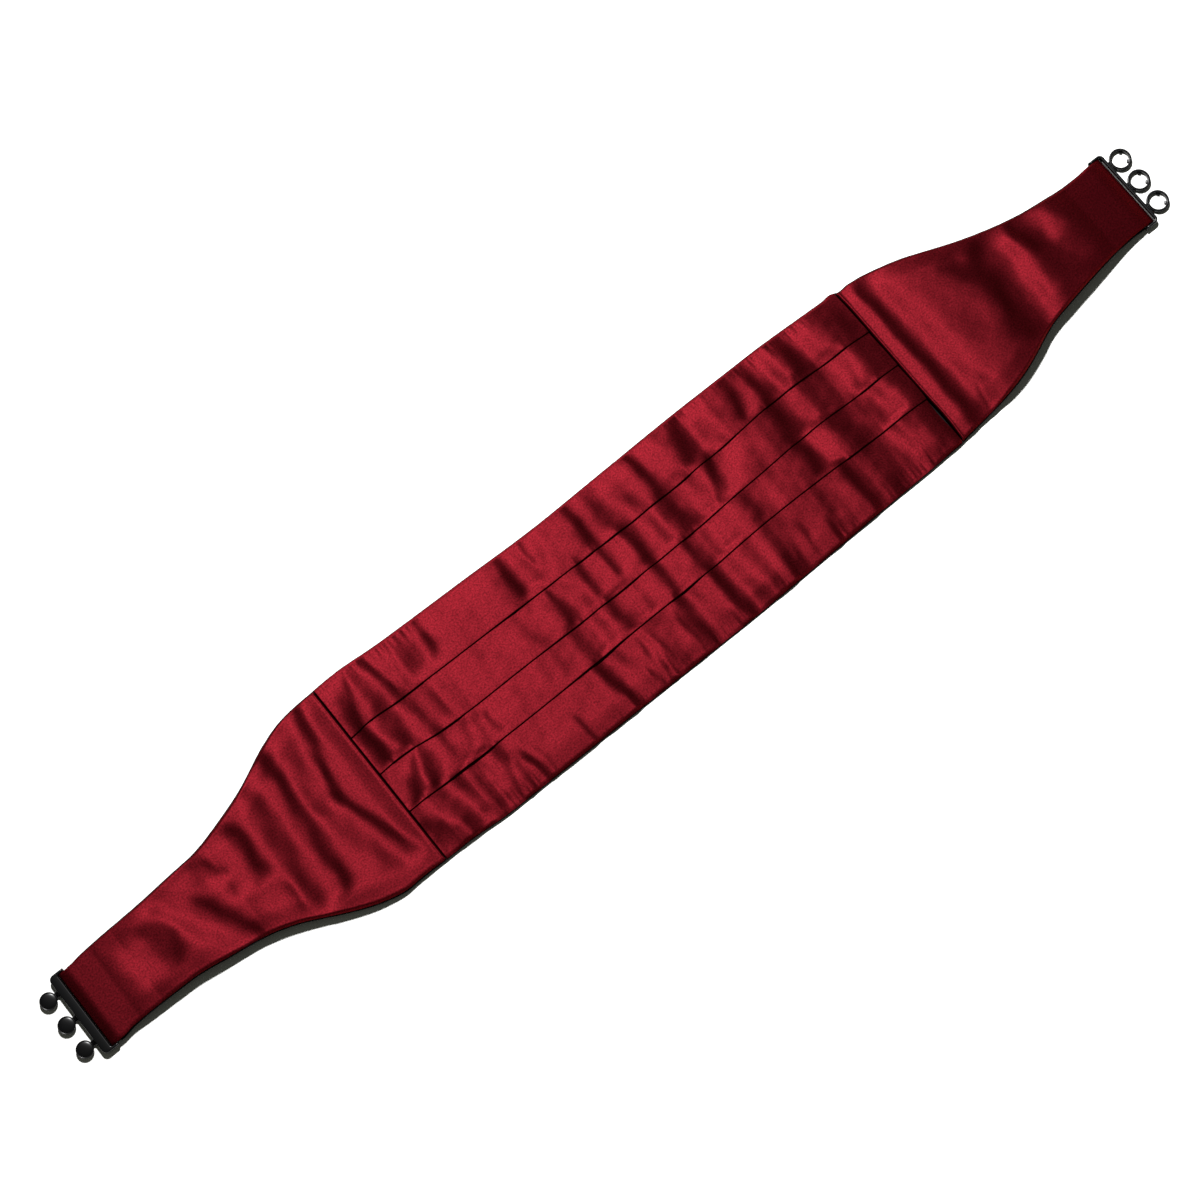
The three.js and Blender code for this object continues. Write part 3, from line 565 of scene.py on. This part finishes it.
def cloth_piece(name, node, points, flat, material):
    """Makes a piece of cloth that stands for a solid of the frame, and hides that solid."""
    piece = cloth_object(name, points, flat)
    piece.data.materials.append(material)
    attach(piece, "root")
    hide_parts(node)
    return piece


points, flat = front_points()
cloth_piece("pleated_satin", "pleated_front", points[:, ::-1], flat[:, ::-1], satin)

# The wings
# Two tapered pieces of the same satin. Each is seamed to the pleated front, and its strap end passes over
# the inner bar of a fitting, turns under it and is sewn down on the back of the backing.
wing_rows = 120
wing_step = 0.85 * mm
wing_gap = 0.4 * mm
wing_wave = 0.4
wing_crowding = 1.25
seam_lip = 0.35 * mm
lip_inset = 1.0 * mm
lip_width = 0.6 * mm
opening_share = 0.6
wing_loft = {"left_wing": 5.2 * mm, "right_wing": 6.5 * mm}
strap_loft = 3.0 * mm
strap_flat = 45.0 * mm
strap_wave = 0.2
strap_calm = 40.0 * mm
strap_rise = 60.0 * mm
strap_fullness = 0.8
wing_rise = (0.40, 0.62)
strap_slope = {"left_wing": 0.05, "right_wing": 0.085}
bar_centre = 2.2 * mm
wrap_radius = 1.55 * mm
bar_depth = {"left_wing": 3.4 * mm, "right_wing": 6.3 * mm}
end_reach = {"left_wing": 8.5 * mm, "right_wing": 13.0 * mm}
end_overhang = {"left_wing": 2.0 * mm, "right_wing": 0.0}
bar_start = 1.3 * mm
tab_length = 9.0 * mm
fold_fade = 9.0 * mm
fold_settle = 3.0 * mm

# Creases in each wing: how far its upper end and its lower end are from the strap's end as shares of the
# wing's length, how high they are as shares of half the panel's height, its width over and under in
# millimetres before crease_spread widens it, and its depth as a share
fold_columns = [(name, float) for name in ("start", "end", "up", "down", "over", "under", "depth")]
wing_creases = {
    "left_wing": np.array([
        (0.291, 0.288, 0.19, -0.15, 13, 13, 0.7),
        (0.390, 0.489, 0.32, -0.42, 13, 8, 0.7),
        (0.446, 0.446, 0.36, 0.24, 6, 6, 1.0),
        (0.492, 0.512, 0.38, 0.20, 10, 9, 0.8),
        (0.600, 0.597, 0.45, -0.02, 8, 10, 0.9),
        (0.623, 0.623, -0.28, -0.47, 5, 5, 0.6),
        (0.780, 0.748, 0.80, -0.60, 10, 11, 1.1),
        (0.930, 0.877, 1.00, 0.10, 7, 6, 0.9),
        (0.877, 0.953, 0.10, -0.75, 6, 8, 0.8),
    ], dtype=fold_columns),
    "right_wing": np.array([
        (0.935, 0.921, 0.84, -0.86, 6, 9, 1.0),
        (0.853, 0.867, -0.60, -0.84, 3, 4, 0.8),
        (0.745, 0.745, 0.00, -0.25, 10, 10, 0.15),
        (0.668, 0.632, 0.46, 0.24, 10, 10, 0.5),
        (0.560, 0.600, 0.40, -0.50, 12, 15, 1.3),
        (0.410, 0.385, 0.38, 0.10, 8, 9, 1.4),
        (0.385, 0.370, 0.00, -0.30, 12, 14, 0.3),
    ], dtype=fold_columns),
}


def wing_points(node, end_x, facing, seed):
    """Rows across the wing at stations along it: from the seam over the strap, down over the inner bar in
    a quarter of a long ellipse, round its nose and back under it to the end of the tab. Near its end the
    strap runs straight, a little higher than the backing's lie. facing is 1 where the wing runs inwards
    along +X."""
    length = abs((front_start - wing_gap if facing > 0 else front_end + wing_gap) - end_x)
    nose = bar_centre - wrap_radius
    reach = end_reach[node]
    inner_end = length - seam_steps[-1]
    inward = np.linspace(inner_end, reach, int((inner_end - reach) / wing_step))[1:]
    inward = np.concatenate([length - seam_steps, inward])
    fall = np.linspace(0, math.pi / 2, 16)[1:]
    turn = np.linspace(0, math.pi / 2, 7)[1:]
    tab = np.linspace(bar_centre, bar_start + bar_depth[node] + tab_length, 12)[1:]
    over = np.concatenate([inward, reach - (reach - nose) * np.sin(fall)])
    s = np.concatenate([over, bar_centre - wrap_radius * np.cos(turn), tab])[:, None]
    x = end_x + facing * s
    v = np.linspace(-1, 1, wing_rows)
    v = np.sign(v) * (1 - (1 - np.abs(v)) ** wing_crowding)
    upper = through(x, stations, rim_upper) - satin_margin
    lower = through(x, stations, rim_lower) + satin_margin
    y = (upper + lower) / 2 + (upper - lower) / 2 * v
    rim = np.minimum(upper - y, y - lower)
    creases = []
    for row in wing_creases[node]:
        up, down = axis_y + row["up"] * panel_half, axis_y + row["down"] * panel_half
        t = np.clip((up - y) / (up - down), -0.2, 1.2)
        line = end_x + facing * length * (row["start"] + (row["end"] - row["start"]) * t)
        hold = ease(down - fold_fade, down + fold_settle, y)
        hold = hold * (1 - ease(up - fold_settle, up + fold_fade, y))
        creases.append((line, row["over"] + (row["under"] - row["over"]) * t, hold, row["depth"]))
    deep = creased(x, y, creases)
    calm = wing_wave * (strap_wave + (1 - strap_wave) * ease(reach, reach + strap_calm, s))
    lip = seam_lip * np.exp(-((length - s - lip_inset) / lip_width) ** 2)
    wave = waves(x, y, seed) * calm + lip
    base = through(x, stations, lie) + satin_rest
    level = through(np.array([end_x + facing * strap_flat]), stations, lie) + satin_rest
    straight = level - (strap_flat - s) * strap_slope[node]
    lifted = np.where(s < strap_flat, np.maximum(base, straight), base)
    rise = ease(wing_rise[0] * length, wing_rise[1] * length, s)
    loft = np.maximum(strap_loft + (wing_loft[node] - strap_loft) * rise,
                      strap_fullness * wing_loft[node] * ease(0, strap_rise, s))
    top = lifted + lofted(rim, length - s, deep, wave, loft)
    foot = base - satin_foot
    top = foot + (top - foot) * seam_shape(length - s)
    z = top.copy()
    falling = slice(len(inward), len(over))
    z[falling] = bar_centre + (top[falling] - bar_centre) * np.cos(fall)[:, None]
    z[len(over):len(over) + len(turn)] = bar_centre - wrap_radius * np.sin(turn)[:, None]
    z[len(over) + len(turn):] = bar_centre - wrap_radius
    pulled = opening_share * opening(y) * ease(length - seam_opening_fade, length, s)
    across = x + (0 if facing > 0 else pulled)
    points = np.stack([np.broadcast_to(across, y.shape), y, z], -1)
    step = np.linalg.norm(np.diff(points, axis=0), axis=2).mean(1)
    cut = -facing * np.concatenate([[0], np.cumsum(step)])[:, None]
    return points, np.stack([np.broadcast_to(cut, y.shape), y], -1)


for node, facing, seed in (("left_wing", 1, 21), ("right_wing", -1, 31)):
    low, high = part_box(node)
    end_x = (low.x if facing > 0 else high.x) - facing * end_overhang[node]
    points, flat = wing_points(node, end_x, facing, seed)
    if facing > 0:
        points, flat = points[::-1], flat[::-1]
    cloth_piece(node + "_satin", node, points, flat, satin)

# The fittings
# Two mouldings in black nylon, one with three mushroom studs and one with three toothed rings, each on a
# frame that the strap end is threaded through. They come out of a polished mould, so they are glossy.
nylon_black = "#070708"
fitting_pitch = 17.3 * mm
strap_half = 25.5 * mm
arm_clearance = 0.3 * mm
arm_width = 1.6 * mm
frame_low, frame_high = 1.0 * mm, 4.4 * mm
frame_corner = 3.2 * mm
window_corner = 1.2 * mm
bar_round = 0.7 * mm
bar_low, bar_high = 1.3 * mm, 3.1 * mm
inner_bar_round = 0.8 * mm
nylon_mark = 10 / 3 * mm
nylon_relief = 0.1 * mm
neck_root_half, neck_half = 3.2 * mm, 1.8 * mm
neck_fall = 1.4 * mm
neck_low, neck_high = 0.9 * mm, 3.6 * mm
neck_sunk = 1.5 * mm
neck_round = 0.4 * mm
dome_radius, dome_foot, dome_rise = 4.65 * mm, 2.35 * mm, 0.75 * mm
ring_bore, ring_rim, ring_high = 5.5 * mm, 7.0 * mm, 2.6 * mm
ring_round = 0.3 * mm
web_half, web_high = 3.25 * mm, 2.3 * mm
web_sunk, web_overlap = 0.7 * mm, 1.1 * mm
tooth_turns = (-math.pi / 4, math.pi / 4)
tooth_start, tooth_end = 4.2 * mm, 6.2 * mm
tooth_half = 0.85 * mm
tooth_low, tooth_high = 0.3 * mm, 1.4 * mm
tooth_round = 0.15 * mm

# Outline of a stud up to the foot of its dome: radius and height in millimetres, for the flange that
# stands on the table, the post, and the cap with its low rim
stud_outline = [
    (0, 0), (2.9, 0), (3.2, 0.3), (3.2, 0.7), (3.0, 0.9), (2.4, 1.0), (2.4, 1.9), (4.8, 1.9),
    (5.1, 2.0), (5.2, 2.2), (5.2, 2.6), (5.1, 2.8), (4.95, 2.85), (4.8, 2.75), (4.65, 2.5),
]


def black_nylon():
    """Injection-moulded nylon: black, smooth and semi-gloss, with a faint unevenness from shrinkage."""
    material, tree, shader = finish_of("moulded_black_nylon", 0.3, 0.0, Specular_IOR_Level=0.28)
    shader.inputs["Base Color"].default_value = colour(nylon_black)
    place = add(tree, "ShaderNodeTexCoord")
    noise = add(tree, "ShaderNodeTexNoise", {"Vector": place.outputs["Object"]}, scale=1 / nylon_mark,
                detail=1.0)
    bump = add(tree, "ShaderNodeBump", {"Height": noise.outputs["Fac"]}, strength=0.15,
               distance=nylon_relief)
    tree.links.new(bump.outputs["Normal"], shader.inputs["Normal"])
    return material


def section(low, high, under, over, radius):
    """Closed sections with four rounded corners: their places across, and their heights, a row each."""
    turn = (np.arange(4)[:, None] * math.pi / 2 + np.linspace(0, math.pi / 2, 6)).ravel()
    right = np.repeat([1, 0, 0, 1], 6)
    up = np.repeat([1, 1, 0, 0], 6)
    low, high, under, over = (np.atleast_1d(a)[:, None] for a in (low, high, under, over))
    across = np.where(right, high - radius, low + radius) + radius * np.cos(turn)
    height = np.where(up, over - radius, under + radius) + radius * np.sin(turn)
    return across, height


def skin(rings, loop=False):
    """Points and faces of a row of closed sections, capped at both ends or, in a loop, joined up."""
    count, around = rings.shape[:2]
    index = np.arange(count * around).reshape(count, around)
    if loop:
        index = np.vstack([index, index[:1]])
    turned = np.roll(index, -1, axis=1)
    faces = np.stack([index[:-1], turned[:-1], turned[1:], index[1:]], -1).reshape(-1, 4).tolist()
    if not loop:
        faces += [index[0, ::-1].tolist(), index[-1].tolist()]
    return rings.reshape(-1, 3), faces


def bar(out, half, under, over, radius):
    """A bar along the fitting through sections: how far out each is, its half width and its heights."""
    half = np.broadcast_to(half, np.shape(out)).astype(float)
    under, over = (np.broadcast_to(level, half.shape) for level in (under, over))
    across, height = section(-half, half, under, over, radius)
    return skin(np.stack([np.broadcast_to(np.array(out)[:, None], across.shape), across, height], -1))


def turned_part(profile, out, across, loop=False):
    """A turned part from its outline, given as radius and height."""
    profile = np.array(profile)
    turn = np.linspace(0, 2 * math.pi, 64, endpoint=False)
    rings = np.stack([
        out + profile[:, :1] * np.cos(turn), across + profile[:, :1] * np.sin(turn),
        np.broadcast_to(profile[:, 1:], (len(profile), 64))], -1)
    return skin(rings, loop)


def frame_parts(gap, outer_bar, inner_bar):
    """The outer bar with its two arms, swept in one round the strap, and the bar that the strap goes
    over."""
    half = strap_half + arm_clearance + arm_width
    outer, inner = gap + outer_bar, -(bar_start + inner_bar)
    quarter = np.linspace(-math.pi / 2, 0, 9)
    arm = np.linspace(0, 1, 4)[:-1]

    def path(half, end, corner):
        x = np.concatenate([inner + (end - corner - inner) * arm, end - corner + corner * np.cos(quarter)])
        y = np.concatenate([-half + 0 * arm, -half + corner + corner * np.sin(quarter)])
        return np.concatenate([np.stack([x, y], -1), np.stack([x, -y], -1)[::-1]])

    outside, inside = path(half, outer, frame_corner), path(half - arm_width, gap, window_corner)
    wide = np.linalg.norm(inside - outside, axis=1)
    rounding = np.minimum(bar_round, 0.45 * wide)[:, None]
    across, height = section(0 * wide, wide, 0 * wide + frame_low, 0 * wide + frame_high, rounding)
    way = (inside - outside) / wide[:, None]
    rings = np.concatenate([outside[:, None] + way[:, None] * across[..., None], height[..., None]], -1)
    span = np.array([-1, 1]) * (half - arm_width / 2)
    edges = (edge + 0 * span for edge in (inner, -bar_start, bar_low, bar_high))
    x, z = section(*edges, inner_bar_round)
    held = np.stack([x, np.broadcast_to(span[:, None], x.shape), z], -1)
    return [skin(rings), skin(held)]


def stud_parts(out, across, root):
    """A mushroom stud with a domed top inside a low rim, on a neck that slopes down from the outer bar."""
    share = np.linspace(0.93, 0, 12)
    dome = np.stack([dome_radius * share, dome_foot + dome_rise * np.sqrt(1 - share * share)], -1)
    stud = turned_part(np.concatenate([np.array(stud_outline) * mm, dome]), out, across)
    t = np.linspace(0, 1, 12)
    half = neck_root_half + (neck_half - neck_root_half) * ease(0, 0.3, t)
    under = neck_fall * (1 - ease(0, 0.55, t))
    over = neck_low + (neck_high - neck_low) * (1 - ease(0, 0.6, t))
    start = root - neck_sunk
    points, faces = bar(start + (out - start) * t, half, under, over, neck_round)
    points[:, 1] += across
    return [stud, (points, faces)]


def ring_parts(out, across, root):
    """A ring on a short web, with two short teeth low in the outer side of its bore."""
    x, z = section(ring_bore, ring_rim, 0.0, ring_high, ring_round)
    ring = turned_part(np.stack([x[0], z[0]], -1), out, across, loop=True)
    web_end = out - ring_rim + web_overlap
    web, faces = bar([root - web_sunk, web_end], web_half, frame_low, web_high, ring_round)
    web[:, 1] += across
    parts = [ring, (web, faces)]
    for turn in tooth_turns:
        tooth, faces = bar([tooth_start, tooth_end], tooth_half, tooth_low, tooth_high, tooth_round)
        x = out + tooth[:, 0] * math.cos(turn) - tooth[:, 1] * math.sin(turn)
        y = across + tooth[:, 0] * math.sin(turn) + tooth[:, 1] * math.cos(turn)
        parts.append((np.stack([x, y, tooth[:, 2]], -1), faces))
    return parts


def fitting(name, node, parts, end_x, facing):
    """Joins a fitting's parts, which are laid out from the satin's end outwards, into one piece."""
    points, faces, count = [], [], 0
    for part, part_faces in parts:
        points.append(part)
        faces += [[k + count for k in face] for face in part_faces]
        count += len(part)
    points = np.concatenate(points) * (facing, 1, 1) + (end_x, axis_y, 0)
    mesh = bpy.data.meshes.new(name)
    mesh.from_pydata(points, [], faces)
    shape = bmesh.new()
    shape.from_mesh(mesh)
    bmesh.ops.remove_doubles(shape, verts=shape.verts, dist=1e-6)
    bmesh.ops.recalc_face_normals(shape, faces=shape.faces)
    shape.to_mesh(mesh)
    shape.free()
    mesh.shade_smooth()
    mesh.materials.append(nylon)
    piece = bpy.data.objects.new(name, mesh)
    bpy.context.scene.collection.objects.link(piece)
    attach(piece, "root")
    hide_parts(node)


nylon = black_nylon()
places = (np.arange(3) - 1) * fitting_pitch
stud_root, stud_out = 5.2 * mm, 12.4 * mm
ring_root, ring_out = 2.3 * mm, 10.3 * mm
stud_fitting = frame_parts(-0.3 * mm, 5.5 * mm, bar_depth["left_wing"])
ring_fitting = frame_parts(0.3 * mm, 2.0 * mm, bar_depth["right_wing"])
for place in places:
    stud_fitting += stud_parts(stud_out, place, stud_root)
    ring_fitting += ring_parts(ring_out, place, ring_root)
stud_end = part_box("left_wing")[0].x - end_overhang["left_wing"]
fitting("stud_fitting", "stud_bar", stud_fitting, stud_end, -1)
fitting("ring_fitting", "ring_bar", ring_fitting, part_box("right_wing")[1].x, 1)

# The studio
# A plain pale floor, a near light behind the upper edge that is small enough for a crisp shadow, and a
# camera that looks down on the middle of the front.
floor_white = "#F4F4F2"
floor_size = 16.0
light_place = Vector((0.40, 0.90, 1.45))
light_aim = Vector((0.0, 0.0, 0.0))
light_size = 0.16
light_power = 66.0
camera_distance = 1.5
camera_aim = Vector((-15.98 * mm, 1.46 * mm, 0))
camera_azimuth, camera_elevation, camera_roll = (math.radians(a) for a in (-41.343, 77.588, 2.434))
sensor_width = 36.0
focal_pixels, image_pixels = 2549, 1200
sky_tint, sky_strength = "#FBFFEC", 0.06
backdrop_white, backdrop_strength = "#FFFFFF", 0.95

floor_mesh = bpy.data.meshes.new("floor")
reach = floor_size / 2
floor_corners = [(-reach, -reach, 0), (reach, -reach, 0), (reach, reach, 0), (-reach, reach, 0)]
floor_mesh.from_pydata(floor_corners, [], [(0, 1, 2, 3)])
floor = bpy.data.objects.new("floor", floor_mesh)
bpy.context.scene.collection.objects.link(floor)
paint, tree, shader = finish_of("pale_floor", 0.9, 0.0)
shader.inputs["Base Color"].default_value = colour(floor_white)
floor_mesh.materials.append(paint)


def aim(thing, place, target):
    """Puts a light or camera at a place and turns it to look at a target."""
    thing.location = place
    thing.rotation_mode = "QUATERNION"
    thing.rotation_quaternion = (Vector(target) - Vector(place)).to_track_quat("-Z", "Y")
    bpy.context.scene.collection.objects.link(thing)


key = bpy.data.lights.new("key_light", "AREA")
key.shape = "DISK"
key.size = light_size
key.energy = light_power
aim(bpy.data.objects.new("key_light", key), light_place, light_aim)

world = bpy.data.worlds.new("studio")
bpy.context.scene.world = world
world.use_nodes = True
sky = world.node_tree
surround = sky.nodes["Background"]
surround.inputs["Color"].default_value = colour(sky_tint)
surround.inputs["Strength"].default_value = sky_strength
seen = add(sky, "ShaderNodeBackground")
seen.inputs["Color"].default_value = colour(backdrop_white)
seen.inputs["Strength"].default_value = backdrop_strength
path = add(sky, "ShaderNodeLightPath")
mix = add(sky, "ShaderNodeMixShader", {
    0: path.outputs["Is Camera Ray"], 1: surround.outputs[0], 2: seen.outputs[0]})
sky.links.new(mix.outputs[0], sky.nodes["World Output"].inputs["Surface"])

a, e, r = camera_azimuth, camera_elevation, camera_roll
back = Vector((math.sin(a) * math.cos(e), -math.cos(a) * math.cos(e), math.sin(e)))
level = Vector((math.cos(a), math.sin(a), 0))
upward = back.cross(level)
right = level * math.cos(r) + upward * math.sin(r)
up = upward * math.cos(r) - level * math.sin(r)
camera = bpy.data.objects.new("camera", bpy.data.cameras.new("camera"))
camera.data.lens = sensor_width * focal_pixels / image_pixels
camera.data.sensor_width = sensor_width
camera.matrix_world = Matrix.Translation(camera_aim + back * camera_distance) @ Matrix(
    (right, up, back)).transposed().to_4x4()
bpy.context.scene.collection.objects.link(camera)
bpy.context.scene.camera = camera
bpy.context.scene.view_settings.view_transform = "Standard"
